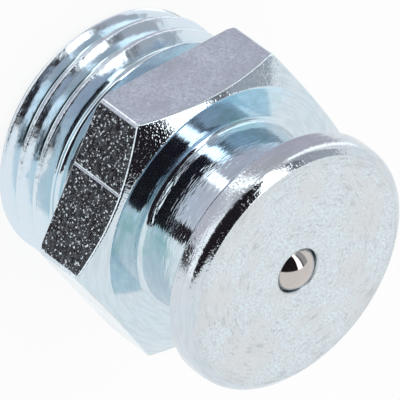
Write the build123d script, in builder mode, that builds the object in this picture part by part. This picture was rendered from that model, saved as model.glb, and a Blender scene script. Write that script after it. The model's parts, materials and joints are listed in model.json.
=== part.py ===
"""Button-head grease nipple: a turned hexagon body, a valve ball and its return spring.

The part stands on its threaded end. The axis is Z, the thread points down and the button head up,
and the hexagon's corners lie on the Y axis, so that two of its flats face +X and -X.
All sizes are in millimetres.
"""
import os
from math import cos, radians, sin, sqrt, tan

from build123d import *

# ---- thread end -------------------------------------------------------------------------------
thread_diameter = 16.0      # over the crests of the fine metric thread, which the solid leaves plain
thread_length = 6.6         # from the end of the part to the face that seats round the port
end_chamfer = 0.8           # lead-in at the end of the thread, 45 degrees
relief_diameter = 14.0      # run-out groove between the thread and the seating face
relief_width = 1.4
relief_radius = 0.4         # tool radius in the corner under the hexagon

# ---- hexagon ----------------------------------------------------------------------------------
across_flats = 17.0
hex_length = 4.4
hex_edge_radius = 0.3       # rounded edges of the drawn bar
front_land_inset = 0.35     # from the flats in to the edge of the turned face on the head's side
front_chamfer_angle = 27.0
back_corner_break = 0.315   # taken off the corners at the seating face
back_chamfer_angle = 30.0

# ---- neck and button head ---------------------------------------------------------------------
neck_diameter = 11.8
neck_length = 4.9           # gap between the hexagon and the head, where the coupler's jaws grip
neck_root_radius = 0.25
under_head_radius = 0.4
head_diameter = 16.0
head_thickness = 1.87
head_face_diameter = 14.8   # flat of the head, inside its chamfer
head_chamfer_angle = 33.0
head_edge_radius = 0.6      # between the chamfer and the rim
head_back_chamfer = 0.1

# ---- valve ------------------------------------------------------------------------------------
ball_diameter = 3.175
ball_proud = 0.54           # how far the closed ball stands above the head's face
inlet_diameter = 3.0        # edge of the head, rolled over the ball
seat_gap = 0.02             # play between the closed ball and the seat coined round it
seat_depth = 0.3            # height of the coined band
valve_bore_diameter = 3.6
valve_bore_depth = 7.17
outlet_diameter = 2.2
outlet_countersink = 0.3

# ---- spring -----------------------------------------------------------------------------------
wire_diameter = 0.35
spring_bore_play = 0.2      # between the outside of the coils and the valve bore
spring_coils = 7
spring_ball_gap = 0.02

# ---- places and radii that follow from these ---------------------------------------------------
thread_radius = thread_diameter / 2
relief_bottom_radius = relief_diameter / 2
corner_radius = across_flats / sqrt(3)
front_land_radius = across_flats / 2 - front_land_inset
back_land_radius = corner_radius - back_corner_break
neck_radius = neck_diameter / 2
head_radius = head_diameter / 2

seat_face_z = thread_length
hex_front_z = seat_face_z + hex_length
head_back_z = hex_front_z + neck_length
head_face_z = head_back_z + head_thickness

front_chamfer_drop = (corner_radius - front_land_radius) * tan(radians(front_chamfer_angle))
back_chamfer_drop = back_corner_break * tan(radians(back_chamfer_angle))
relief_start_z = seat_face_z - relief_width
relief_slope = thread_radius - relief_bottom_radius

head_face_radius = head_face_diameter / 2
rim_arc_inset = head_edge_radius * (1 - sin(radians(head_chamfer_angle)))
rim_arc_height = head_edge_radius * cos(radians(head_chamfer_angle))
chamfer_outer_radius = head_radius - rim_arc_inset
chamfer_low_z = head_face_z - (chamfer_outer_radius - head_face_radius) * tan(radians(head_chamfer_angle))
rim_top_z = chamfer_low_z - rim_arc_height

ball_radius = ball_diameter / 2
ball_z = head_face_z + ball_proud - ball_radius
inlet_radius = inlet_diameter / 2
seat_radius = ball_radius + seat_gap
seat_top_height = sqrt(seat_radius**2 - inlet_radius**2)
seat_low_height = seat_top_height - seat_depth
seat_low_radius = sqrt(seat_radius**2 - seat_low_height**2)
valve_bore_radius = valve_bore_diameter / 2
valve_floor_z = head_face_z - valve_bore_depth
outlet_radius = outlet_diameter / 2

wire_radius = wire_diameter / 2
coil_radius = valve_bore_radius - spring_bore_play - wire_radius
coil_inner_radius = coil_radius - wire_radius
spring_top_z = ball_z - sqrt(ball_radius**2 - coil_inner_radius**2) - spring_ball_gap
spring_length = spring_top_z - valve_floor_z
coil_pitch = spring_length / (spring_coils - 1)
ball_travel = spring_length - spring_coils * wire_diameter


# ---- body: one piece, turned from hexagon bar --------------------------------------------------
with BuildPart() as body:
    # Length of bar that keeps its six flats, with its drawn edges.
    with BuildSketch(Plane.XY.offset(seat_face_z)):
        RegularPolygon(across_flats / 2, 6, major_radius=False, rotation=30)
    extrude(amount=hex_length)
    fillet(body.edges().filter_by(Axis.Z), hex_edge_radius)

    # Both ends of the flats are cut back by the turned chamfers.
    with BuildSketch(Plane.XZ):
        with BuildLine():
            Polyline(
                (0, seat_face_z),
                (back_land_radius, seat_face_z),
                (corner_radius, seat_face_z + back_chamfer_drop),
                (corner_radius, hex_front_z - front_chamfer_drop),
                (front_land_radius, hex_front_z),
                (0, hex_front_z),
                close=True,
            )
        make_face()
    revolve(axis=Axis.Z, mode=Mode.INTERSECT)

    # Shank, plain at the thread's outside diameter, with its lead-in and its run-out groove.
    with BuildSketch(Plane.XZ):
        with BuildLine():
            Polyline(
                (0, 0),
                (thread_radius - end_chamfer, 0),
                (thread_radius, end_chamfer),
                (thread_radius, relief_start_z - relief_slope / 2),
                (relief_bottom_radius, relief_start_z),
                (relief_bottom_radius, seat_face_z - relief_radius),
            )
            RadiusArc(
                (relief_bottom_radius, seat_face_z - relief_radius),
                (relief_bottom_radius + relief_radius, seat_face_z),
                -relief_radius,
            )
            Polyline((relief_bottom_radius + relief_radius, seat_face_z), (0, seat_face_z), (0, 0))
        make_face()
    revolve(axis=Axis.Z)

    # Neck, which flows into the hexagon's front face and the back of the head.
    with BuildSketch(Plane.XZ):
        with BuildLine():
            Line((0, hex_front_z), (neck_radius + neck_root_radius, hex_front_z))
            RadiusArc(
                (neck_radius + neck_root_radius, hex_front_z),
                (neck_radius, hex_front_z + neck_root_radius),
                neck_root_radius,
            )
            Line((neck_radius, hex_front_z + neck_root_radius), (neck_radius, head_back_z - under_head_radius))
            RadiusArc(
                (neck_radius, head_back_z - under_head_radius),
                (neck_radius + under_head_radius, head_back_z),
                -under_head_radius,
            )
            Polyline((neck_radius + under_head_radius, head_back_z), (0, head_back_z), (0, hex_front_z))
        make_face()
    revolve(axis=Axis.Z)

    # Button head, whose chamfered front edge rounds over into the rim.
    with BuildSketch(Plane.XZ):
        with BuildLine():
            Polyline(
                (0, head_back_z),
                (head_radius - head_back_chamfer, head_back_z),
                (head_radius, head_back_z + head_back_chamfer),
                (head_radius, rim_top_z),
            )
            RadiusArc((head_radius, rim_top_z), (chamfer_outer_radius, chamfer_low_z), -head_edge_radius)
            Polyline(
                (chamfer_outer_radius, chamfer_low_z),
                (head_face_radius, head_face_z),
                (0, head_face_z),
                (0, head_back_z),
            )
        make_face()
    revolve(axis=Axis.Z)

    # Grease way: inlet lip, coined seat, valve bore and outlet.
    with BuildSketch(Plane.XZ):
        with BuildLine():
            Polyline((0, head_face_z), (inlet_radius, head_face_z), (inlet_radius, ball_z + seat_top_height))
            RadiusArc(
                (inlet_radius, ball_z + seat_top_height),
                (seat_low_radius, ball_z + seat_low_height),
                seat_radius,
            )
            Polyline(
                (seat_low_radius, ball_z + seat_low_height),
                (valve_bore_radius, ball_z + seat_low_height - (valve_bore_radius - seat_low_radius)),
                (valve_bore_radius, valve_floor_z),
                (outlet_radius, valve_floor_z),
                (outlet_radius, outlet_countersink),
                (outlet_radius + outlet_countersink, 0),
                (0, 0),
                (0, head_face_z),
            )
        make_face()
    revolve(axis=Axis.Z, mode=Mode.SUBTRACT)

# ---- ball: closes the inlet from inside --------------------------------------------------------
with BuildPart() as ball:
    with Locations((0, 0, ball_z)):
        Sphere(ball_radius)

# ---- spring: open coils, ground flat at both ends ----------------------------------------------
with BuildPart() as spring:
    with BuildLine() as coil_line:
        Helix(coil_pitch, spring_length, coil_radius, center=(0, 0, valve_floor_z))
    with BuildSketch(Plane(origin=coil_line.line @ 0, z_dir=coil_line.line % 0)):
        Circle(wire_radius)
    sweep()
    with Locations((0, 0, valve_floor_z)):
        Cylinder(
            valve_bore_radius,
            spring_length,
            align=(Align.CENTER, Align.CENTER, Align.MIN),
            mode=Mode.INTERSECT,
        )

body.part.label = "body"
ball.part.label = "ball"
spring.part.label = "spring"

os.makedirs("parts", exist_ok=True)
export_step(body.part, "parts/body.step")
export_step(ball.part, "parts/ball.step")
export_step(spring.part, "parts/spring.step")

print("ball centre height", round(ball_z, 4), "spring from", valve_floor_z, "to", round(spring_top_z, 4))
print("ball travel to solid spring", round(ball_travel, 4))
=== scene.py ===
"""Zinc-plated button-head grease nipple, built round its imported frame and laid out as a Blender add-on.

The part stands on its threaded end, with its axis on Z and its head up. Lengths are in metres.
The body, the valve ball and the return spring are surfaces worked out with numpy on grids: one
direction of a grid goes round the axis and the other along a profile. The finishes are node
materials that read Object coordinates, in millimetres inside their nodes.
"""
import json
from math import atan, cos, pi, radians, sin, sqrt, tan

import bmesh
import bpy
import numpy as np
from bpy.props import FloatProperty, FloatVectorProperty, IntProperty, PointerProperty
from bpy.types import NodeSocket, Operator, Panel, PropertyGroup
from mathutils import Matrix, Vector


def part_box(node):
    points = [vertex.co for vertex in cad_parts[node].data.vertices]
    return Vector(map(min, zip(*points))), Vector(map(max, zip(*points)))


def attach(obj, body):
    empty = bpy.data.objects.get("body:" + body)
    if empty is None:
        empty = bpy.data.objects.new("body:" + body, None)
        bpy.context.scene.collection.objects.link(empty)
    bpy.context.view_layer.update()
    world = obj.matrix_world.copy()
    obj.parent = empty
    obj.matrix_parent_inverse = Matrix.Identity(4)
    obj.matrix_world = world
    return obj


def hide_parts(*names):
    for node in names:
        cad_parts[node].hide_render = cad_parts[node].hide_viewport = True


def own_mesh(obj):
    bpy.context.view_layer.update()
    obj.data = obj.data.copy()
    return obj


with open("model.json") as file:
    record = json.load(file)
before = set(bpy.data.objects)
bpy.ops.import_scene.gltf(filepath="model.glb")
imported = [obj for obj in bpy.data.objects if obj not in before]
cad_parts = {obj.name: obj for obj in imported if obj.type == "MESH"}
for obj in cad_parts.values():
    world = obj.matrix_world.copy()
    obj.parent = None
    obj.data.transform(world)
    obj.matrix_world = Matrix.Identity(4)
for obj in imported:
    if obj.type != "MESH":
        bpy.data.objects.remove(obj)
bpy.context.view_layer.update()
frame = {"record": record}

bl_info = {
    "name": "Grease nipple",
    "version": (1, 0, 0),
    "blender": (4, 5, 0),
    "location": "3D View > Sidebar > Nipple",
    "description": "Builds a plated button-head grease nipple with its valve, and a small studio for it",
    "category": "Object",
}

MM = 0.001
MOUNTS = {mount["name"]: mount for mount in frame["record"]["mounts"]}
BODY_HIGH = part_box("body")[1]
BALL_LOW, BALL_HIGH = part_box("ball")
SPRING_LOW, SPRING_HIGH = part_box("spring")


# ---- settings ----
def length(name, description, default):
    """A length in metres that the sidebar shows with its unit."""
    return FloatProperty(
        name=name, description=description, default=default, unit="LENGTH", subtype="DISTANCE", precision=5
    )


def mm(name, description, millimetres):
    """A length that is given in millimetres."""
    return length(name, description, millimetres * MM)


def turn(name, description, default_degrees):
    """An angle that the sidebar shows in degrees."""
    return FloatProperty(
        name=name, description=description, default=radians(default_degrees), unit="ROTATION", subtype="ANGLE"
    )


def share(name, description, default):
    """A plain number from 0 to 1."""
    return FloatProperty(name=name, description=description, default=default, min=0.0, max=1.0)


def colour(name, subject, default):
    """The linear colour of a subject."""
    description = f"Colour of the {subject}"
    return FloatVectorProperty(
        name=name, description=description, default=default, size=3, subtype="COLOR", min=0.0, max=1.0
    )


class ShankSizes(PropertyGroup):
    """Sizes of the threaded end."""

    radius: mm("Thread radius", "Over the crests", MOUNTS["thread_shank"]["dims"]["r_mm"])
    pitch: mm("Pitch", "From crest to crest", 1.5)
    depth: mm("Thread depth", "From crest to root", 0.80)
    crest: mm("Crest width", "Flat on top of the thread", 0.24)
    root: mm("Root width", "Flat at the bottom of the thread", 0.20)
    first_crest: mm("First crest", "Height of the lowest crest on the +X side", 1.076)
    corner: mm("Crest rounding", "Reach of the rounding of the thread's corners", 0.05)
    nicks: mm("Nicks", "Depth of the handling marks on the crests", 0.038)
    end_chamfer: mm("End chamfer", "Lead-in at the thread's end", 0.8)
    full_thread: mm("Full thread", "Height at which the run-out groove starts", 4.7)
    relief_height: mm("Groove", "Height at which the groove reaches its full depth", 5.2)
    relief_radius: mm("Groove radius", "Radius at the bottom of the run-out groove", 7.0)
    relief_fillet: mm("Groove fillet", "Radius in the corner under the hexagon", 0.4)


class HexagonSizes(PropertyGroup):
    """Sizes of the hexagon flange."""

    half_flats: length("Half across flats", "From the axis to a flat", BODY_HIGH.x)
    back: length("Seating face", "Height of the face under the hexagon", MOUNTS["seat_face"]["pos_m"][2])
    front: mm("Front face", "Height of the face on the head's side", 11.0)
    edge: mm("Bar edge", "Radius of the six long edges", 0.42)
    front_land: mm("Front land", "Radius of the turned front face", 8.15)
    front_slope: turn("Front chamfer", "Fall of the chamfer on the head's side", 30.5)
    lip_width: mm("Lip width", "Width of the steep lip between the flats and the front chamfer", 0.032)
    lip_slope: turn("Lip slope", "Fall of that lip", 76)
    back_land: mm("Back land", "Radius of the seating face", 9.5)
    back_slope: turn("Back chamfer", "Rise of the chamfer at the seating face", 30)
    break_edge: mm("Broken edge", "Width of the small break on the turned edges", 0.07)
    lip_corner: mm("Lip corner", "Reach of the rounding between the lip and the front chamfer", 0.06)
    score_offset: mm("Score line", "Place of the score on its flat, from the flat's middle", 0.79)
    score_width: mm("Score width", "Half the width of the score", 0.11)
    score_depth: mm("Score depth", "Depth of the score", 0.022)


class HeadSizes(PropertyGroup):
    """Sizes of the neck, the button head and the valve's seat."""

    neck_radius: mm("Neck radius", "Radius between the hexagon and the head", 5.9)
    root_flare: mm("Root flare", "How much the neck widens at its root", 0.143)
    root_height: mm("Root height", "Length over which it widens", 0.62)
    root_fillet: mm("Root fillet", "Reach of the rounding where the neck leaves the hexagon", 0.36)
    under_fillet: mm("Under-head fillet", "Radius where the neck meets the head", 0.4)
    back: mm("Head's back", "Height of the head's back face", 15.9)
    face: length("Head's face", "Height of the head's face", MOUNTS["head_face"]["pos_m"][2])
    radius: mm("Head radius", "Radius of the head's rim", MOUNTS["head_rim"]["dims"]["r_mm"])
    back_break: mm("Back break", "Break on the rim's back edge", 0.16)
    face_radius: mm("Face radius", "Radius of the flat face, inside its chamfer", 7.4)
    chamfer_slope: turn("Chamfer slope", "Fall of the front chamfer from the face to the rim", 35)
    crown_slope: turn("Crown slope", "Lean of the rim's crowned front part", 7)
    crown_start: mm("Crown start", "Height at which the rim starts to lean in", 16.75)
    edge: mm("Front edge", "Reach of the rounding between the chamfer and the rim", 0.28)
    inlet_radius: mm("Inlet radius", "Radius of the lip round the ball", 1.42)
    lip_break: mm("Lip break", "Break on the lip's outer edge", 0.08)
    bore_radius: mm("Bore radius", "Radius of the valve's chamber", 1.8)
    bore_floor: length("Bore floor", "Height of the floor that carries the spring", SPRING_LOW.z)
    outlet_radius: mm("Outlet radius", "Radius of the grease outlet", 1.1)
    outlet_sink: mm("Outlet countersink", "Break on the outlet's mouth", 0.3)
    seat_gap: mm("Seat gap", "Play between the closed ball and its seat", 0.02)
    seat_depth: mm("Seat depth", "Height of the coined seat", 0.3)


class ValveSizes(PropertyGroup):
    """Sizes of the ball and the spring."""

    ball_radius: mm("Ball radius", "Radius of the valve ball", 1.5875)
    wire_radius: mm("Wire radius", "Half the spring wire's thickness", 0.175)
    coil_radius: mm("Coil radius", "Radius of the coil's middle line", 1.425)
    coils: IntProperty(name="Coils", description="Turns of the spring", default=7, min=2)


class MeshFineness(PropertyGroup):
    """How finely the surfaces are cut."""

    around: IntProperty(name="Around", description="Columns round the body", default=376, min=48)
    ball_around: IntProperty(name="Ball", description="Columns round the ball", default=128, min=16)
    wire_around: IntProperty(name="Wire", description="Columns round the spring wire", default=12, min=6)
    coil_steps: IntProperty(name="Coil steps", description="Rows for each turn of the spring", default=48, min=12)


class PlatingLook(PropertyGroup):
    """Colours and textures of the finishes."""

    zinc: colour("Zinc", "plating", (0.655, 0.750, 0.810))
    zinc_warm: colour("Warm patches", "slightly warmer patches", (0.680, 0.745, 0.795))
    zinc_blue: colour("Blue patches", "bluer patches", (0.625, 0.745, 0.820))
    # The teal, blue and pale tints are partly the plating's own tint and partly painted reflection, laid on by side
    # round the neck and the hexagon's front face.
    tint_teal: colour("Teal tint", "tinted plating in its green parts", (0.620, 0.750, 0.815))
    tint_green: colour("Green tint", "tint's few greener patches", (0.430, 0.640, 0.650))
    tint_blue: colour("Blue tint", "tinted plating in its blue parts", (0.600, 0.820, 0.960))
    tint_pale: colour("Pale tint", "tinted plating between those two", (0.610, 0.710, 0.805))
    thread: colour("Thread", "thread's flanks", (0.735, 0.830, 0.925))
    groove: colour("Grooves", "plating down in the grooves", (0.590, 0.785, 0.870))
    rim: colour("Rim", "head's rim", (0.620, 0.655, 0.695))
    drawn: colour("Drawn flats", "hexagon's flats", (0.820, 0.930, 1.000))
    speck: colour("Specks", "small dull specks", (0.46, 0.50, 0.52))
    face: colour("Face", "head's satin face", (0.695, 0.800, 0.862))
    face_warm: colour("Face, warm", "face's warmer patches", (0.720, 0.742, 0.762))
    satin: share("Satin share", "Share of plain metal in the head's satin face; the rest is matt", 0.75)
    ball: colour("Ball", "ground ball", (0.59, 0.545, 0.525))
    wire: colour("Wire", "spring wire", (0.52, 0.52, 0.53))
    grain_height: mm("Grain height", "Height of the grain on the drawn flats", 0.027)
    grain_size: share("Grain size", "Width of one grain on the drawn flats, in millimetres", 0.15)


class StudioLook(PropertyGroup):
    """Camera, floor, lamps and reflector cards."""

    azimuth: turn("Camera azimuth", "Direction of the camera round the axis, from +X", -83.055)
    elevation: turn("Camera elevation", "Height of the camera above the floor", 37.169)
    roll: turn("Camera roll", "Roll of the camera, which lays the part on its side in the picture", 126.557)
    distance: length("Camera distance", "From the camera to the point it looks at", 0.4)
    lens: FloatProperty(name="Lens", description="Focal length in millimetres", default=633.06, min=10, unit="CAMERA")
    aim: FloatVectorProperty(
        name="Aim",
        description="Point that the camera looks at",
        default=(0.125 * MM, -0.447 * MM, 9.547 * MM),
        size=3,
        subtype="TRANSLATION",
        unit="LENGTH",
    )
    floor_colour: colour("Floor", "floor", (0.90, 0.90, 0.90))
    floor_glow: share("Floor glow", "Share of plain white that the camera sees in the floor", 0.88)
    floor_half: length("Floor size", "Half the side of the floor", 1.5)
    key_power: FloatProperty(
        name="Key power", description="Power of the key lamp in watts", default=0.28, min=0, unit="POWER"
    )
    card_distance: length("Card distance", "From the part to the reflector cards", 0.30)


class NippleSettings(PropertyGroup):
    """All settings of the grease nipple."""

    shank: PointerProperty(type=ShankSizes)
    hexagon: PointerProperty(type=HexagonSizes)
    head: PointerProperty(type=HeadSizes)
    valve: PointerProperty(type=ValveSizes)
    fineness: PointerProperty(type=MeshFineness)
    look: PointerProperty(type=PlatingLook)
    studio: PointerProperty(type=StudioLook)


# ---- surfaces ----
MERGE_DISTANCE = 0.0002 * MM
WAVES = 24
HOLD = 0.02 * MM
LONGEST_CUT, LONGEST_HOLD = 0.45, 0.04  # shares of the shorter stretch beside a corner


def sum_of_waves(points, wavelength, seed):
    """A smooth random field: the sum of sine waves in random directions, all of one wavelength.

    Its standard deviation is 1. points is an array of shape (..., 3).
    """
    random = np.random.default_rng(seed)
    directions = random.normal(size=(WAVES, 3))
    directions /= np.linalg.norm(directions, axis=1, keepdims=True)
    phases = random.uniform(0, 2 * pi, WAVES)
    waves = np.sin(points @ directions.T * (2 * pi / wavelength) + phases)
    return waves.sum(axis=-1) * sqrt(2 / WAVES)


def mesh_from_grids(name, grids, closed_columns=True):
    """One closed mesh from grids of points, each (rows, columns, 3), with a finish number for each row of faces.

    Neighbouring points span a quad. Points that coincide are merged, which sews the grids together and closes
    seams, and faces that lose their area that way are dropped.
    """
    points, quads, finishes, start = [], [], [], 0
    for grid, row_finish in grids:
        rows, columns = grid.shape[:2]
        index = start + np.arange(rows * columns).reshape(rows, columns)
        following = np.roll(index, -1, axis=1) if closed_columns else index[:, 1:]
        current = index if closed_columns else index[:, :-1]
        cells = np.stack([current[:-1], following[:-1], following[1:], current[1:]], axis=-1)
        quads.append(cells.reshape(-1, 4))
        finishes.append(np.repeat(np.asarray(row_finish), cells.shape[1]))
        points.append(grid.reshape(-1, 3))
        start += rows * columns
    points, quads, finishes = np.concatenate(points), np.concatenate(quads), np.concatenate(finishes)

    mesh = bpy.data.meshes.new(name)
    mesh.vertices.add(len(points))
    mesh.vertices.foreach_set("co", points.astype(np.float32).ravel())
    mesh.loops.add(quads.size)
    mesh.loops.foreach_set("vertex_index", quads.astype(np.int32).ravel())
    mesh.polygons.add(len(quads))
    mesh.polygons.foreach_set("loop_start", np.arange(0, quads.size, 4, dtype=np.int32))
    mesh.polygons.foreach_set("material_index", finishes.astype(np.int32))
    mesh.update(calc_edges=True)

    cleaned = bmesh.new()
    cleaned.from_mesh(mesh)
    bmesh.ops.remove_doubles(cleaned, verts=cleaned.verts, dist=MERGE_DISTANCE)
    bmesh.ops.recalc_face_normals(cleaned, faces=cleaned.faces)
    open_edges = sum(1 for edge in cleaned.edges if len(edge.link_faces) != 2)
    cleaned.to_mesh(mesh)
    cleaned.free()
    if open_edges:
        raise RuntimeError(f"{name} has {open_edges} open or crowded edges")
    mesh.shade_smooth()
    return mesh


def unit(vectors):
    """The vectors at length 1."""
    return vectors / np.linalg.norm(vectors, axis=-1, keepdims=True)


def rounded_profile(corners):
    """Rows of points along a profile whose corners are arcs, with the finish of each strip between two rows.

    Each corner is (radius, height, cut, steps, finish of the stretch after it). Radius and height are numbers or
    one value for each column. The arc leaves the straight line `cut` before the corner and meets the next one as
    far after it, in `steps` rows. A holding row just outside each end keeps the shading of the straight
    stretches flat. The first and last corners are plain ends.
    """
    columns = max(np.size(value) for corner in corners for value in corner[:2])
    places = np.stack(
        [np.stack([np.broadcast_to(r, columns), np.broadcast_to(z, columns)], axis=-1) for r, z, *_ in corners]
    )
    rows, strips = [places[0]], []
    for here in range(1, len(corners) - 1):
        cut, steps, finish_after = corners[here][2:]
        finish_before = corners[here - 1][4]
        into, out = places[here] - places[here - 1], places[here + 1] - places[here]
        reach = np.minimum(np.linalg.norm(into, axis=-1), np.linalg.norm(out, axis=-1))[:, None]
        into, out = unit(into), unit(out)
        cut = np.minimum(cut, LONGEST_CUT * reach)
        guard = np.minimum(HOLD, LONGEST_HOLD * reach)
        bend = np.arccos(np.clip((into * out).sum(axis=-1), -1, 1))[:, None]
        side = (out - np.cos(bend) * into) / np.sin(bend)
        radius = cut / np.tan(bend / 2)
        start = places[here] - cut * into
        rows.append(start - guard * into)
        for step in np.linspace(0, 1, steps + 1):
            rows.append(start + radius * (np.sin(step * bend) * into + (1 - np.cos(step * bend)) * side))
        rows.append(places[here] + (cut + guard) * out)
        strips += [finish_before] * (2 + steps // 2) + [finish_after] * (steps - steps // 2 + 1)
    rows.append(places[-1])
    strips.append(corners[-2][4])
    return np.array(rows), strips


def around_axis(profile, angles):
    """Points of a profile (rows, columns, 2) of radius and height, each column turned to its angle."""
    radius, height = profile[..., 0], profile[..., 1]
    return np.stack([radius * np.cos(angles), radius * np.sin(angles), height], axis=-1)


# ---- body ----
CORNER_ANGLES = np.radians(30 + 60 * np.arange(6))
SCORED_FLAT = radians(-60)
BODY_FINISHES = ["turned", "thread", "flats", "chamfer", "front", "neck", "rim", "edge", "face"]
TURNED, THREAD, FLATS, CHAMFER, FRONT, NECK, RIM, EDGE, FACE = range(len(BODY_FINISHES))


def bar_arc(hexagon):
    """Half the angle round the axis that one rounded edge of the bar takes."""
    straight = (hexagon.half_flats - hexagon.edge) * tan(pi / 6)
    return pi / 6 - atan(straight / hexagon.half_flats)


def score_angle(hexagon):
    """Angle of the score line on its flat."""
    return SCORED_FLAT - atan(hexagon.score_offset / hexagon.half_flats)


def column_angles(settings):
    """Angles of the columns: even round the axis, closer at the bar's edges and at the score line.

    A column just beside each edge keeps the flat's shading flat. Even columns too near to the others are left out.
    """
    hexagon = settings.hexagon
    columns, beside, too_near = 9, 0.002, radians(0.25)
    even = np.linspace(0, 2 * pi, settings.fineness.around, endpoint=False)
    arc = bar_arc(hexagon)
    edge = np.concatenate([arc * np.linspace(-1, 1, columns), [-arc - beside, arc + beside]])
    edges = (CORNER_ANGLES[:, None] + edge).ravel()
    width = hexagon.score_width / hexagon.half_flats
    score = score_angle(hexagon) + width * np.linspace(-1.3, 1.3, columns)
    special = np.concatenate([edges, score]) % (2 * pi)
    distance = np.abs((even[:, None] - special + pi) % (2 * pi) - pi).min(axis=1)
    kept = even[distance > too_near]
    return np.sort(np.concatenate([kept, special]))


def bar_radius(angles, hexagon):
    """Radius of the hexagon bar at each angle: its flats, its rounded edges and the shallow score.

    A flat is half_flats / cos(angle from its middle). An edge is a circle of the edge radius that touches both
    of its flats. The score is a bell curve cut into one flat.
    """
    from_flat = (angles + pi / 6) % (pi / 3) - pi / 6
    flat = hexagon.half_flats / np.cos(from_flat)
    from_corner = pi / 6 - np.abs(from_flat)
    centre = (hexagon.half_flats - hexagon.edge) / cos(pi / 6)
    inside = np.maximum(hexagon.edge**2 - (centre * np.sin(from_corner)) ** 2, 0)
    edge = centre * np.cos(from_corner) + np.sqrt(inside)
    bar = np.where(from_corner < bar_arc(hexagon), edge, flat)
    across = ((angles - score_angle(hexagon) + pi) % (2 * pi) - pi) * hexagon.half_flats
    return bar - hexagon.score_depth * np.exp(-((across / (0.5 * hexagon.score_width)) ** 2))


def shank_radius(angles, heights, shank):
    """Radius of the threaded end: the smaller of the helical thread and the turned blank under it.

    The thread is a trapezoid that repeats each pitch, with its place shifted by a pitch in each turn. The blank
    has the end chamfer and the run-out groove. Averaging over a short window of heights rounds the corners.
    """
    crest_place = shank.first_crest + shank.pitch * angles / (2 * pi)
    total = 0
    window = shank.corner * np.linspace(-1, 1, 5)
    for shift in window:
        height = heights + shift
        phase = np.abs((height - crest_place + shank.pitch / 2) % shank.pitch - shank.pitch / 2)
        thread = np.interp(
            phase,
            [shank.crest / 2, shank.pitch / 2 - shank.root / 2],
            [shank.radius, shank.radius - shank.depth],
        )
        blank = np.interp(
            height,
            [0, shank.end_chamfer, shank.full_thread, shank.relief_height],
            [shank.radius - shank.end_chamfer, shank.radius, shank.radius, shank.relief_radius],
        )
        total = total + np.minimum(thread, blank)
    return total / len(window)


def thread_rows(shank):
    """Places of the rows within one pitch, from one root to the next: close at the corners, wide on the flanks."""
    crest, root = shank.crest / 2, shank.pitch / 2 - shank.root / 2
    at_crest = crest + shank.corner * np.array([-1, 0, 1, 1.8])
    at_root = root - shank.corner * np.array([1.8, 1, 0])
    half = np.concatenate([[0.35 * crest], at_crest, [(crest + root) / 2], at_root])
    return np.concatenate([-half[::-1], half])


def marks(points, size, seed, rarity, deepest):
    """Depths of scattered marks from 0 up to deepest: a sum of waves, of which only the part above rarity counts."""
    return np.clip(sum_of_waves(points, size, seed) - rarity, 0, deepest)


def shank_grid(angles, shank):
    """The threaded end as a sheared grid: each row follows the helix, and the grid is cut off at both ends.

    A row's height is its place in the pitch plus a pitch for each turn, kept between the ends. Rows that run past
    an end lie on its ring, where merging drops them. Handling marks are pressed into the crests, away from both
    ends.
    """
    one_pitch = thread_rows(shank)
    turns = int(shank.relief_height / shank.pitch) + 3
    starts = shank.pitch * np.arange(-2, turns)
    rows = (starts[:, None] + one_pitch).ravel()
    heights = rows[:, None] + shank.first_crest + shank.pitch * angles / (2 * pi)
    heights = np.clip(heights, 0, shank.relief_height)
    radii = shank_radius(angles, heights, shank)
    places = around_axis(np.stack([radii, heights], axis=-1), angles)
    hits = marks(places, 0.7 * MM, seed=3, rarity=0.9, deepest=1.2)
    dents = marks(places, 0.3 * MM, seed=8, rarity=0.4, deepest=1.5)
    on_crest = np.clip((radii - shank.radius + 2 * shank.nicks) / (2 * shank.nicks), 0, 1)
    inside = np.clip(np.minimum(heights, shank.relief_height - heights) / (0.1 * MM), 0, 1)
    radii = radii - shank.nicks * (0.6 * hits + 0.35 * dents) * on_crest * inside
    return np.stack([radii, heights], axis=-1)


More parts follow.
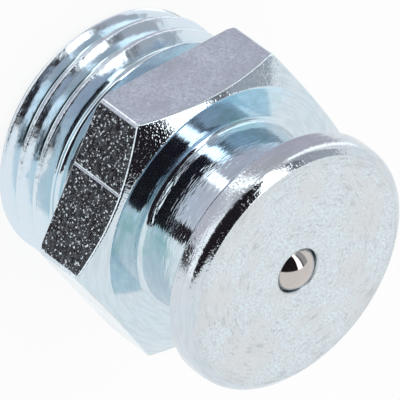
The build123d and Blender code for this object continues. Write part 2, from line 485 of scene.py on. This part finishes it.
def body_mesh(settings):
    """The whole turned body: threaded end, hexagon, neck, head and grease way, sewn into one closed mesh.

    A profile of radius and height, whose corners are arcs, is carried round the axis. In the hexagon the radius
    changes from column to column: each chamfer is a cone, and it starts where it cuts that column's flat.
    """
    shank, hexagon, head = settings.shank, settings.hexagon, settings.head
    angles = column_angles(settings)
    angles = np.append(angles, angles[0] + 2 * pi)
    bar = bar_radius(angles, hexagon)
    small = hexagon.break_edge
    sharp, eased = 0.02 * MM, 0.05 * MM

    ring_low = shank_radius(angles, np.zeros_like(angles), shank)
    ring_high = shank_radius(angles, np.full_like(angles, shank.relief_height), shank)
    back_edge = np.minimum(bar - small, hexagon.back_land)
    back_rise = np.maximum((bar - back_edge) * tan(hexagon.back_slope), 0.6 * small)
    lip = bar - np.minimum(hexagon.lip_width, 0.5 * (bar - hexagon.front_land))
    lip_height = hexagon.front - (lip - hexagon.front_land) * tan(hexagon.front_slope)
    flat_top = lip_height - (bar - lip) * tan(hexagon.lip_slope)

    ball_centre = (BALL_LOW.z + BALL_HIGH.z) / 2
    seat_radius = settings.valve.ball_radius + head.seat_gap
    seat_top = sqrt(seat_radius**2 - head.inlet_radius**2)
    seat_low = seat_top - head.seat_depth
    seat_foot = sqrt(seat_radius**2 - seat_low**2)

    lean, fall = tan(head.crown_slope), tan(head.chamfer_slope)
    rim_height = head.face - fall * (head.radius - head.face_radius + lean * head.crown_start)
    rim_height /= 1 - lean * fall
    rim_corner = (head.radius - lean * (rim_height - head.crown_start), rim_height)

    outlet = [
        (head.outlet_radius, head.bore_floor, 0, 0, TURNED),
        (head.outlet_radius, head.outlet_sink, eased, 2, TURNED),
        (head.outlet_radius + head.outlet_sink, 0, eased, 2, TURNED),
        (ring_low, 0, 0, 0, TURNED),
    ]
    flange_and_head = [
        (ring_high, shank.relief_height, 0, 0, TURNED),
        (shank.relief_radius, hexagon.back, shank.relief_fillet, 6, TURNED),
        (back_edge, hexagon.back, 0.5 * small, 2, CHAMFER),
        (bar, hexagon.back + back_rise, small, 4, FLATS),
        (bar, flat_top, 0.3 * small, 2, CHAMFER),
        (lip, lip_height, hexagon.lip_corner, 5, CHAMFER),
        (hexagon.front_land, hexagon.front, 1.4 * small, 4, FRONT),
        (head.neck_radius + head.root_flare, hexagon.front, head.root_fillet, 12, NECK),
        (head.neck_radius, hexagon.front + head.root_height, 0.08 * MM, 3, NECK),
        (head.neck_radius, head.back, head.under_fillet, 8, TURNED),
        (head.radius - head.back_break, head.back, 0.5 * head.back_break, 4, RIM),
        (head.radius, head.back + head.back_break, 0.5 * head.back_break, 4, RIM),
        (head.radius, head.crown_start, 0.25 * MM, 5, RIM),
        (*rim_corner, head.edge, 12, EDGE),
        (head.face_radius, head.face, 0.045 * MM, 4, FACE),
        (head.inlet_radius + head.lip_break, head.face, sharp, 3, FACE),
        (head.inlet_radius, head.face - head.lip_break, sharp, 3, TURNED),
        (head.inlet_radius, ball_centre + seat_top, sharp, 2, TURNED),
        (seat_foot, ball_centre + seat_low, eased, 2, TURNED),
        (head.bore_radius, ball_centre + seat_low - (head.bore_radius - seat_foot), eased, 2, TURNED),
        (head.bore_radius, head.bore_floor, eased, 2, TURNED),
        (head.outlet_radius, head.bore_floor, 0, 0, TURNED),
    ]
    grids = []
    for corners in (outlet, flange_and_head):
        rows, strips = rounded_profile(corners)
        grids.append((around_axis(np.broadcast_to(rows, (len(rows), len(angles), 2)), angles), strips))
    thread = shank_grid(angles, shank)
    grids.append((around_axis(thread, angles), [THREAD] * (len(thread) - 1)))
    return mesh_from_grids("nipple_body", grids, closed_columns=False)


# ---- ball and spring ----
def ball_mesh(settings):
    """A sphere: each point is the centre plus the radius along its direction, given by two angles."""
    around = settings.fineness.ball_around
    angles = np.linspace(0, 2 * pi, around, endpoint=False)
    falls = np.linspace(0, pi, around // 2 + 1)
    radius = settings.valve.ball_radius
    profile = np.stack([radius * np.sin(falls), radius * np.cos(falls)], axis=-1)
    profile[..., 1] += (BALL_LOW.z + BALL_HIGH.z) / 2
    profile[0, 0] = profile[-1, 0] = 0
    grid = around_axis(np.broadcast_to(profile[:, None], (len(falls), around, 2)), angles)
    return mesh_from_grids("valve_ball", [(grid, [0] * (len(falls) - 1))])


def spring_mesh(settings):
    """The spring's helix as one closed mesh, ground flat at its ends by clamping the heights.

    The wire's circle is carried along the helix, which turns and rises evenly: its cosine goes to the radius and
    its sine to the height. A point in the middle of each end closes the tube.
    """
    valve, fineness = settings.valve, settings.fineness
    low, high = SPRING_LOW.z, SPRING_HIGH.z
    steps = valve.coils * fineness.coil_steps
    along = np.linspace(0, 1, steps + 1)[:, None]
    ring = np.linspace(0, 2 * pi, fineness.wire_around, endpoint=False)
    angle = 2 * pi * (valve.coils - 1) * along
    height = np.clip(low + (high - low) * along + valve.wire_radius * np.sin(ring), low, high)
    radius = np.broadcast_to(valve.coil_radius + valve.wire_radius * np.cos(ring), height.shape)
    grid = around_axis(np.stack([radius, height], axis=-1), angle)
    start = np.broadcast_to(grid[0].mean(axis=0), (1, len(ring), 3))
    end = np.broadcast_to(grid[-1].mean(axis=0), (1, len(ring), 3))
    grid = np.concatenate([start, grid, end])
    return mesh_from_grids("return_spring", [(grid, [0] * (len(grid) - 1))])


# ---- node helpers ----
MICROMETRE = 0.001 * MM


def shade(tone, factor):
    """A colour made darker or lighter by a factor."""
    return tuple(factor * channel for channel in tone)


class Nodes:
    """The nodes of a material or a world, which start empty, with helpers that add nodes and link them."""

    def __init__(self, owner):
        owner.use_nodes = True
        self.nodes, self.links = owner.node_tree.nodes, owner.node_tree.links
        self.nodes.clear()

    def add(self, kind, **sockets):
        """Adds a node and links or fills the named sockets."""
        node = self.nodes.new("ShaderNode" + kind)
        for name, value in sockets.items():
            self.fill(node.inputs[name.replace("_", " ")], value)
        return node

    def fill(self, socket, value):
        """Links a socket to an output, or sets its value."""
        if isinstance(value, NodeSocket):
            self.links.new(value, socket)
        else:
            socket.default_value = value

    def math(self, operation, first, second=0.0):
        """A Math node's result."""
        node = self.add("Math")
        node.operation = operation
        self.fill(node.inputs[0], first)
        self.fill(node.inputs[1], second)
        return node.outputs[0]

    def plus(self, first, second):
        """The sum of two values."""
        return self.math("ADD", first, second)

    def times(self, first, second):
        """The product of two values."""
        return self.math("MULTIPLY", first, second)

    def mixed_shader(self, share_of_second, first, second):
        """A mix of two shaders."""
        node = self.add("MixShader")
        for socket, value in zip(node.inputs, (share_of_second, first, second)):
            self.fill(socket, value)
        return node.outputs[0]

    def seen(self):
        """1 for camera, glossy and transmission rays, and 0 for others."""
        rays = self.add("LightPath").outputs
        bright = self.math("MAXIMUM", rays["Is Camera Ray"], rays["Is Glossy Ray"])
        return self.math("MAXIMUM", bright, rays["Is Transmission Ray"])


class Finish(Nodes):
    """A metal material under construction, with helpers that return the output sockets of new nodes."""

    def __init__(self, name):
        self.material = bpy.data.materials.new(name)
        super().__init__(self.material)
        self.surface = self.add("BsdfPrincipled", Metallic=1.0)
        self.add("OutputMaterial", Surface=self.surface.outputs[0])
        place = self.add("TexCoord").outputs["Object"]
        self.place = self.add("Mapping", Vector=place, Scale=(1 / MM,) * 3).outputs[0]
        self.x, self.y, self.z = self.add("SeparateXYZ", Vector=self.place).outputs
        across = self.add("CombineXYZ", X=self.x, Y=self.y)
        from_axis = self.add("VectorMath", Vector=across.outputs[0])
        from_axis.operation = "LENGTH"
        self.radius = from_axis.outputs["Value"]

    def noise(self, size, detail=2.0, place=None, rough=0.5):
        """A noise from 0 to 1 whose lumps are about `size` millimetres wide."""
        node = self.add("TexNoise", Vector=place or self.place, Scale=1 / size, Detail=detail, Roughness=rough)
        return node.outputs[0]

    def lines(self, along, width, detail):
        """A noise from 0 to 1 that changes only along one coordinate, so that it makes lines."""
        node = self.add("TexNoise")
        node.noise_dimensions = "1D"
        for name, value in (("W", along), ("Scale", 1 / width), ("Detail", detail)):
            self.fill(node.inputs[name], value)
        return node.outputs[0]

    def ramp(self, value, low, high, start=0.0, end=1.0):
        """The value carried from low..high to start..end, and kept there."""
        node = self.add("MapRange", Value=value, From_Min=low, From_Max=high, To_Min=start, To_Max=end)
        return node.outputs["Result"]

    def patchy(self, size, least, most, detail=3.0):
        """A value that drifts between two numbers over patches of a size, such as a roughness."""
        return self.ramp(self.noise(size, detail=detail), 0.3, 0.7, least, most)

    def lumps(self, size, low, high):
        """Separate rounded lumps, 0 between them and 1 at the top: the high part of a noise, made steeper."""
        return self.math("POWER", self.ramp(self.noise(size, detail=1.0), low, high), 1.5)

    def mix(self, factor, first, second):
        """A colour between two colours."""
        node = self.add("Mix")
        node.data_type = "RGBA"
        self.fill(node.inputs[0], factor)
        for socket, value in ((node.inputs[6], first), (node.inputs[7], second)):
            self.fill(socket, value if isinstance(value, NodeSocket) else (*value, 1.0))
        return node.outputs[2]

    def streaks(self, way, size, detail=1.0):
        """A noise from 0 to 1 drawn out round the axis, so that it makes short lines about `size` mm wide.

        The noise reads the direction from the axis, as two numbers that change slowly, and the coordinate
        across the lines: the height on a cylinder, the radius on a face. That one wavers a little.
        """
        across = self.z if way == "height" else self.radius
        across = self.plus(across, self.times(self.noise(3.0, detail=1.0), 0.04))
        turned = [self.times(self.math("DIVIDE", side, self.radius), 1.1) for side in (self.x, self.y)]
        place = self.add("CombineXYZ", X=turned[0], Y=turned[1], Z=across)
        return self.noise(size, detail=detail, place=place.outputs[0])

    def finish(self, tone, roughness, height):
        """Links colour, roughness and a height in micrometres to the metal."""
        self.fill(self.surface.inputs["Base Color"], tone)
        self.fill(self.surface.inputs["Roughness"], roughness)
        bump = self.add("Bump", Height=height, Distance=MICROMETRE)
        self.fill(self.surface.inputs["Normal"], bump.outputs[0])
        return self.material


# ---- finishes ----
# In them sizes and coordinates are in millimetres and heights in micrometres. The pairs of numbers in a ramp say
# which part of a noise it spreads: the closer they are, the sharper the patches.
def zinc_colour(f, look, base):
    """The plating's colour, which drifts between a warmer and a bluer tone over a millimetre or two."""
    drift = f.ramp(f.noise(1.7, detail=3.0), 0.35, 0.65)
    return f.mix(0.5, f.mix(drift, look.zinc_blue, look.zinc_warm), base)


def tint_with_painted_reflection(f, look):
    """The iridescent tint round the neck, with painted reflection colours laid into it by side: teal towards +X,
    pale in between, blue towards -X, clear towards +Y.

    It has a few green patches of tint, and it is clear as well on the end of the neck near the head, where the
    painted reflection stops. Noises make its borders wander.
    """
    drift = f.plus(f.noise(2.2), f.times(f.x, -0.055))
    tint_and_reflection = f.mix(f.ramp(drift, 0.42, 0.58), look.tint_teal, look.tint_blue)
    tint_and_reflection = f.mix(f.ramp(f.noise(1.6), 0.52, 0.64, 0.0, 0.8), tint_and_reflection, look.tint_green)
    from_middle = f.math("ABSOLUTE", f.plus(f.x, f.times(f.noise(1.3), 2.0)))
    tint_and_reflection = f.mix(f.ramp(from_middle, 1.0, 3.5), look.tint_pale, tint_and_reflection)
    clear = f.ramp(f.plus(f.y, f.times(f.noise(1.5), 2.0)), -3.5, -0.5)
    clear = f.math("MAXIMUM", clear, f.ramp(f.z, 12.8, 15.0, 0.0, 0.8))
    return f.mix(clear, tint_and_reflection, zinc_colour(f, look, look.zinc))


def turned_finish(name, look, way, roughness, lines, grain=(0.55, 0.8), painted_reflection_and_tint=False, base=None):
    """A turned and plated face: lines round the axis and a grain, each given by its width and its height."""
    f = Finish(name)
    (line_width, line_height), (grain_size, grain_height) = lines, grain
    fine = f.times(f.streaks(way, line_width), line_height)
    height = f.plus(fine, f.times(f.lumps(grain_size, 0.5, 0.85), grain_height))
    rough = f.patchy(0.9, 0.8 * roughness, 1.25 * roughness, detail=4.0)
    # With the flag set, the tone carries painted reflection colours by side as well as the plating's tint.
    tone = tint_with_painted_reflection(f, look) if painted_reflection_and_tint else zinc_colour(f, look, base or look.zinc)
    dim = f.ramp(f.streaks(way, 1.5 * line_width, detail=3.0), 0.40, 0.62, 0.0, 0.24)
    return f.finish(f.mix(dim, tone, shade(look.zinc, 0.6)), rough, height)


def flats_finish(name, look):
    """Drawn and barrelled flats: a lumpy grain that glints where it tilts, over mottled metal."""
    f = Finish(name)
    grain = f.times(f.lumps(look.grain_size, 0.62, 0.87), look.grain_height / MICROMETRE)
    swells = f.times(f.noise(8 * look.grain_size), 3.0)
    dull = f.ramp(f.noise(0.17, detail=3.0, rough=0.7), 0.44, 0.62, 0.0, 0.5)
    patch = f.ramp(f.noise(1.7, detail=5.0, rough=0.65), 0.36, 0.66, 0.0, 0.75)
    tone = f.mix(dull, look.drawn, shade(look.drawn, 0.47))
    tone = f.mix(patch, tone, shade(look.drawn, 0.68))
    return f.finish(tone, f.patchy(0.3, 0.11, 0.20), f.plus(grain, swells))


def thread_finish(name, look, shank):
    """The cut thread: flanks that are bluer in the grooves, with lines along the helix, and crests rubbed rough."""
    f = Finish(name)
    crest = f.ramp(f.radius, shank.radius / MM - 0.10, shank.radius / MM - 0.02)
    rubs = f.times(f.times(f.noise(0.15, rough=0.6), 32.0), crest)
    lines = f.times(f.lines(f.radius, 0.08, detail=3.0), 2.2)
    swells = f.times(f.noise(1.0), 30.0)
    height = f.plus(f.plus(lines, swells), rubs)
    rough = f.plus(f.patchy(0.6, 0.09, 0.16), f.times(crest, 0.1))
    up = f.ramp(f.radius, (shank.radius - shank.depth) / MM, (shank.radius - 0.3 * shank.depth) / MM)
    tone = f.mix(up, zinc_colour(f, look, look.groove), zinc_colour(f, look, look.thread))
    return f.finish(tone, rough, height)


def ball_finish(name, look):
    """A ground and polished ball with a few hair lines."""
    f = Finish(name)
    tone = f.mix(f.noise(0.8), look.ball, shade(look.ball, 0.9))
    return f.finish(tone, f.patchy(0.7, 0.05, 0.11), f.times(f.noise(0.25, detail=4.0), 0.35))


def wire_finish(name, look):
    """Drawn spring wire, dull grey."""
    f = Finish(name)
    tone = f.mix(f.noise(0.6), look.wire, shade(look.wire, 0.8))
    return f.finish(tone, f.patchy(0.3, 0.22, 0.36), f.times(f.noise(0.1), 0.6))


def satin_finish(name, look):
    """The head's satin face: mottled, with rings of the facing tool, worn arcs, small dark marks and a dull border."""
    f = Finish(name)
    rings = f.times(f.streaks("radius", 0.22, detail=2.0), 2.4)
    grain = f.times(f.noise(0.11, rough=0.6), 2.6)
    mottle = f.ramp(f.noise(0.16, detail=3.0, rough=0.7), 0.36, 0.64)
    tone = f.mix(mottle, shade(look.face_warm, 0.86), shade(look.face, 1.09))
    warm_patch = f.ramp(f.noise(2.1), 0.48, 0.64, 0.0, 0.75)
    tone = f.mix(warm_patch, tone, shade(look.face_warm, 0.96))
    worn = f.ramp(f.streaks("radius", 0.16, detail=3.0), 0.53, 0.63, 0.0, 0.55)
    worn = f.times(worn, f.ramp(f.noise(1.3), 0.44, 0.58))
    marks = f.ramp(f.noise(0.17, detail=3.0, rough=0.6), 0.63, 0.69, 0.0, 0.8)
    border = f.ramp(f.radius, 6.6, 7.3, 0.0, 0.16)
    for specks in (worn, marks, border):
        tone = f.mix(specks, tone, look.speck)
    f.surface.inputs["Metallic"].default_value = look.satin
    return f.finish(tone, f.patchy(0.9, 0.40, 0.52), f.plus(rings, grain))


def body_materials(look, shank):
    """The body's finishes, in the order of BODY_FINISHES."""
    return [
        turned_finish("turned_zinc", look, "radius", 0.23, lines=(0.10, 1.0), base=look.groove),
        thread_finish("thread_zinc", look, shank),
        flats_finish("drawn_zinc", look),
        turned_finish("chamfer_zinc", look, "radius", 0.08, lines=(0.12, 2.0), grain=(0.13, 9.0)),
        # The hexagon's front face and the neck carry painted reflection colours in their tint.
        turned_finish("faced_zinc", look, "radius", 0.08, lines=(0.12, 1.5), painted_reflection_and_tint=True),
        turned_finish("neck_zinc", look, "height", 0.08, lines=(0.13, 14.0), painted_reflection_and_tint=True),
        turned_finish("rim_zinc", look, "height", 0.15, lines=(0.12, 7.0), grain=(0.14, 12.0), base=look.rim),
        turned_finish("edge_zinc", look, "radius", 0.09, lines=(0.10, 3.0), grain=(0.12, 9.0), base=look.rim),
        satin_finish("satin_zinc", look),
    ]


# ---- stage ----
# The reflector cards stand in a room in which the part lies on its side. Each card is a patch of a sphere round
# the part, given by rows of (height over the room's floor, left bearing, right bearing) in degrees. Bearings count
# from the part's +Z axis. Then come its colour, its strength, and its place in the order from the part outwards.
ROOM_UP = np.array([-0.538, -0.843, 0.0])
ROOM_SIDE = np.array([0.843, -0.538, 0.0])
WHITE = (1.0, 1.0, 1.0)
UNLIT = (0.020, 0.015, 0.019)
STUDIO_CARDS = {
    "strip_front": (
        [(-2, -26, -7), (46, -22.5, -6.5), (55, -22.5, -6), (62, -24, 2), (72, -26, 12), (80, -36, 30)],
        WHITE, 2.9, 1,
    ),
    "strip_back": ([(48, 156, 174), (62, 150, 172), (72, 142, 176), (80, 130, 185)], WHITE, 1.9, 1),
    "strip_side": ([(-2.5, 97, 118), (48, 96, 117)], WHITE, 1.35, 1),
    "strip_left": ([(4, -110, -94), (26, -104, -82), (41, -100, -74), (66, -96, -60)], WHITE, 1.6, 1),
    "dark_room": ([(-2.5, -7.5, 96), (48, -6, 94), (58, 0, 92), (70, 15, 85)], UNLIT, 1.0, 2),
    "dark_gap": ([(-2.5, 118, 150), (15, 118, 150)], UNLIT, 1.0, 3),
    "grey_card": ([(14, 122, 158), (50, 122, 158)], (0.90, 0.86, 0.94), 0.75, 2),
    "near_stripe": ([(-2, -35, -28), (50, -34, -25)], (0.9, 0.9, 1.0), 0.22, 2),
    "near_wall": ([(-2, -56, -35), (52, -62, -34)], (0.90, 0.92, 1.0), 0.52, 3),
    "back_wall": ([(8, -205, -112), (54, -205, -112)], (1.0, 0.94, 1.07), 0.57, 3),
    "roof": ([(54, -180, 180), (88, -180, 180)], (1.0, 0.97, 1.0), 0.58, 4),
}
CARD_STEP = radians(4)
CARD_SPACING = 0.01
FLOOR_DROP = 0.02 * MM
SURROUND_LIGHT = 0.85
LAMP_PLACE = Vector((-0.12, -0.16, 0.35))
LAMP_SIZE = 0.25
SENSOR_WIDTH_MM = 36


def add_to_scene(name, data):
    """A new object in the scene."""
    made = bpy.data.objects.new(name, data)
    bpy.context.scene.collection.objects.link(made)
    return made


def glow(name, tone, strength):
    """A material that only gives light."""
    material = bpy.data.materials.new(name)
    parts = Nodes(material)
    light = parts.add("Emission", Color=(*tone, 1.0), Strength=strength)
    parts.add("OutputMaterial", Surface=light.outputs[0])
    material.cycles.emission_sampling = "NONE"
    return material


def room_direction(bearing, height):
    """Unit vectors at bearings and heights in the room, both arrays in radians."""
    across, over = np.cos(height)[..., None], np.sin(height)[..., None]
    level = np.cos(bearing)[..., None] * np.array([0, 0, 1]) + np.sin(bearing)[..., None] * ROOM_SIDE
    return across * level + over * ROOM_UP


def card_mesh(name, rows, distance):
    """A patch of a sphere: rows at even heights, each running between its two edges.

    The edges at a height are interpolated between the rows that the card gives.
    """
    given = np.radians(np.array(rows, float))
    low, high = given[0, 0], given[-1, 0]
    heights = np.linspace(low, high, int((high - low) / CARD_STEP) + 2)
    left = np.interp(heights, given[:, 0], given[:, 1])
    right = np.interp(heights, given[:, 0], given[:, 2])
    across = np.linspace(0, 1, int(np.abs(given[:, 2] - given[:, 1]).max() / CARD_STEP) + 2)
    bearings = left[:, None] + (right - left)[:, None] * across
    grid = distance * room_direction(bearings, np.broadcast_to(heights[:, None], bearings.shape))
    grid[..., 2] += BODY_HIGH.z / 2
    mesh = bpy.data.meshes.new(name)
    index = np.arange(bearings.size).reshape(bearings.shape)
    quads = np.stack([index[:-1, :-1], index[:-1, 1:], index[1:, 1:], index[1:, :-1]], axis=-1).reshape(-1, 4)
    mesh.from_pydata(grid.reshape(-1, 3).tolist(), [], quads.tolist())
    return mesh


def make_cards(studio):
    """Reflector cards that only reflections see: they give the bright metal something to mirror."""
    for name, (rows, tone, strength, order) in STUDIO_CARDS.items():
        mesh = card_mesh(name, rows, studio.card_distance + order * CARD_SPACING)
        mesh.materials.append(glow(name, tone, strength))
        card = add_to_scene(name, mesh)
        card.visible_camera = card.visible_diffuse = card.visible_shadow = False


def floor_material(studio):
    """A pale floor that takes shadows, partly plain white to the camera, and clear when seen from below."""
    material = bpy.data.materials.new("pale_floor")
    parts = Nodes(material)
    paper = parts.add("BsdfDiffuse", Color=(*studio.floor_colour, 1.0)).outputs[0]
    white, clear = parts.add("Emission").outputs[0], parts.add("BsdfTransparent").outputs[0]
    top = parts.mixed_shader(parts.times(parts.seen(), studio.floor_glow), paper, white)
    below = parts.add("NewGeometry").outputs["Backfacing"]
    parts.add("OutputMaterial", Surface=parts.mixed_shader(below, top, clear))
    return material


def make_floor(studio):
    """A wide flat floor under the part."""
    half, level = studio.floor_half, -FLOOR_DROP
    mesh = bpy.data.meshes.new("floor")
    corners = [(-half, -half, level), (half, -half, level), (half, half, level), (-half, half, level)]
    mesh.from_pydata(corners, [], [(0, 1, 2, 3)])
    mesh.materials.append(floor_material(studio))
    floor = add_to_scene("floor", mesh)
    floor.visible_glossy = False


def make_world():
    """A white surround: full white where it is seen or mirrored, and a little less as light."""
    world = bpy.data.worlds.new("white_surround")
    parts = Nodes(world)
    light, white = [
        parts.add("Background", Color=(*WHITE, 1.0), Strength=strength).outputs[0] for strength in (SURROUND_LIGHT, 1.0)
    ]
    parts.add("OutputWorld", Surface=parts.mixed_shader(parts.seen(), light, white))
    bpy.context.scene.world = world


def make_lamp(studio):
    """One large soft lamp above the part, for the floor's shadow."""
    data = bpy.data.lights.new("key_lamp", "AREA")
    data.shape, data.size = "DISK", LAMP_SIZE
    data.energy = studio.key_power
    lamp = add_to_scene("key_lamp", data)
    lamp.location = LAMP_PLACE
    lamp.rotation_mode = "QUATERNION"
    lamp.rotation_quaternion = (-LAMP_PLACE).to_track_quat("-Z", "Y")
    lamp.visible_glossy = False


def make_camera(studio):
    """A long lens, turned on its own axis so that the part lies on its side in the picture."""
    data = bpy.data.cameras.new("camera")
    data.lens, data.sensor_width = studio.lens, SENSOR_WIDTH_MM
    data.clip_start, data.clip_end = 0.01, 10
    camera = add_to_scene("camera", data)
    level, rise = cos(studio.elevation), sin(studio.elevation)
    back = Vector((level * cos(studio.azimuth), level * sin(studio.azimuth), rise))
    upright = (-back).to_track_quat("-Z", "Y").to_matrix()
    camera.rotation_mode = "QUATERNION"
    camera.rotation_quaternion = (upright @ Matrix.Rotation(studio.roll, 3, "Z")).to_quaternion()
    camera.location = Vector(studio.aim) + studio.distance * back
    bpy.context.scene.camera = camera
    bpy.context.scene.view_settings.view_transform = "Standard"


# ---- operators ----
def add_piece(name, mesh, materials, body, node):
    """Links a finished mesh as a piece that stands for a node of the frame."""
    for material in materials:
        mesh.materials.append(material)
    piece = add_to_scene(name, mesh)
    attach(piece, body)
    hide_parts(node)
    return piece


class NIPPLE_OT_body(Operator):
    """Build the turned body with its thread, hexagon, neck and head"""

    bl_idname = "nipple.body"
    bl_label = "Body"

    def execute(self, context):
        settings = context.scene.nipple
        materials = body_materials(settings.look, settings.shank)
        add_piece("nipple_body", body_mesh(settings), materials, "nipple_body", "body")
        return {"FINISHED"}


class NIPPLE_OT_ball(Operator):
    """Build the valve ball"""

    bl_idname = "nipple.ball"
    bl_label = "Valve ball"

    def execute(self, context):
        settings = context.scene.nipple
        materials = [ball_finish("ground_ball", settings.look)]
        add_piece("valve_ball", ball_mesh(settings), materials, "valve_ball", "ball")
        return {"FINISHED"}


class NIPPLE_OT_spring(Operator):
    """Build the return spring at one fixed length; the real spring shortens as the ball is pushed in"""

    bl_idname = "nipple.spring"
    bl_label = "Return spring"

    def execute(self, context):
        settings = context.scene.nipple
        materials = [wire_finish("spring_wire", settings.look)]
        mesh = spring_mesh(settings)
        piece = add_piece("return_spring", mesh, materials, "nipple_body", "spring")
        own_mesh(piece)
        return {"FINISHED"}


class NIPPLE_OT_stage(Operator):
    """Set up the floor, the surround, the cards, the lamp and the camera"""

    bl_idname = "nipple.stage"
    bl_label = "Stage"

    def execute(self, context):
        studio = context.scene.nipple.studio
        make_floor(studio)
        make_world()
        make_cards(studio)
        make_lamp(studio)
        make_camera(studio)
        return {"FINISHED"}


OPERATORS = (NIPPLE_OT_body, NIPPLE_OT_ball, NIPPLE_OT_spring, NIPPLE_OT_stage)


class NIPPLE_PT_panel(Panel):
    """Lists the pieces and their settings in the sidebar"""

    bl_label = "Grease nipple"
    bl_idname = "NIPPLE_PT_panel"
    bl_space_type = "VIEW_3D"
    bl_region_type = "UI"
    bl_category = "Nipple"

    def draw(self, context):
        layout = self.layout
        for operator in OPERATORS:
            layout.operator(operator.bl_idname)
        settings = context.scene.nipple
        for group_name in settings.__annotations__:
            group = getattr(settings, group_name)
            box = layout.box()
            box.label(text=group_name.capitalize())
            for name in group.__annotations__:
                box.prop(group, name)


GROUPS = (ShankSizes, HexagonSizes, HeadSizes, ValveSizes, MeshFineness, PlatingLook, StudioLook, NippleSettings)
CLASSES = (*GROUPS, *OPERATORS, NIPPLE_PT_panel)


def register():
    for each in CLASSES:
        bpy.utils.register_class(each)
    bpy.types.Scene.nipple = PointerProperty(type=NippleSettings)


def unregister():
    del bpy.types.Scene.nipple
    for each in reversed(CLASSES):
        bpy.utils.unregister_class(each)


def main():
    """Builds every piece and the stage."""
    register()
    bpy.ops.nipple.body()
    bpy.ops.nipple.ball()
    bpy.ops.nipple.spring()
    bpy.ops.nipple.stage()


if __name__ == "__main__":
    main()
